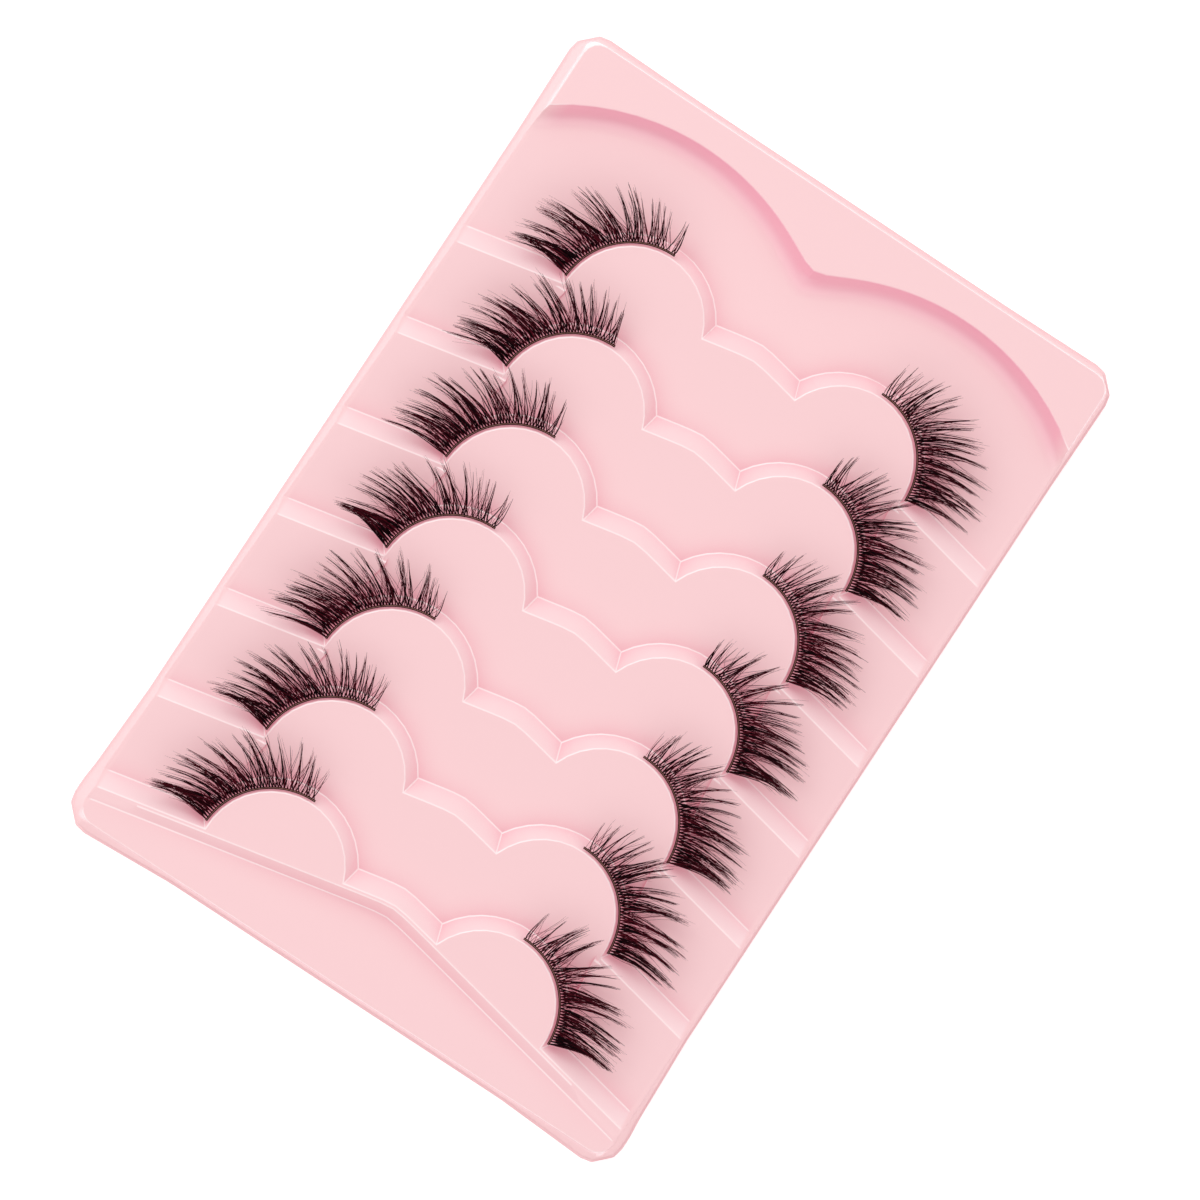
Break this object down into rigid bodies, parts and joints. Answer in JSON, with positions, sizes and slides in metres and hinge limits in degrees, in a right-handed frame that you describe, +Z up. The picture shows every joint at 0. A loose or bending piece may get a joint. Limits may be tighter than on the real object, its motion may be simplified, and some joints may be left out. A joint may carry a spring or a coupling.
{
  "type": "false eyelash strips in a display tray",
  "caption": "Pairs of black half-length false eyelash strips, each seated on the round step of a pale pink formed plastic display tray with a header panel.",
  "frame": {"origin": "centre of the tray's footprint, on the surface that the rim rests on", "axes": "+X across the tray, +Y towards the header panel with the heart-shaped step, +Z up out of the tray"},
  "size_m": [0.1118, 0.1622, 0.013],
  "materials": {
    "pink_plastic": "satin pale pink formed sheet",
    "cotton_thread": "matt black cotton thread",
    "lash_fibre": "black synthetic hair, brownish where thin"
  },
  "bodies": {
    "root": {"tray": "pink_plastic", "band_1_left": "cotton_thread", "band_1_right": "cotton_thread", "band_2_left": "cotton_thread", "band_2_right": "cotton_thread", "band_3_left": "cotton_thread", "band_3_right": "cotton_thread", "band_4_left": "cotton_thread", "band_4_right": "cotton_thread", "band_5_left": "cotton_thread", "band_5_right": "cotton_thread", "band_6_left": "cotton_thread", "band_6_right": "cotton_thread", "band_7_left": "cotton_thread", "band_7_right": "cotton_thread", "lashes_1_left": "lash_fibre", "lashes_1_right": "lash_fibre", "lashes_2_left": "lash_fibre", "lashes_2_right": "lash_fibre", "lashes_3_left": "lash_fibre", "lashes_3_right": "lash_fibre", "lashes_4_left": "lash_fibre", "lashes_4_right": "lash_fibre", "lashes_5_left": "lash_fibre", "lashes_5_right": "lash_fibre", "lashes_6_left": "lash_fibre", "lashes_6_right": "lash_fibre", "lashes_7_left": "lash_fibre", "lashes_7_right": "lash_fibre"}
  },
  "joints": []
}
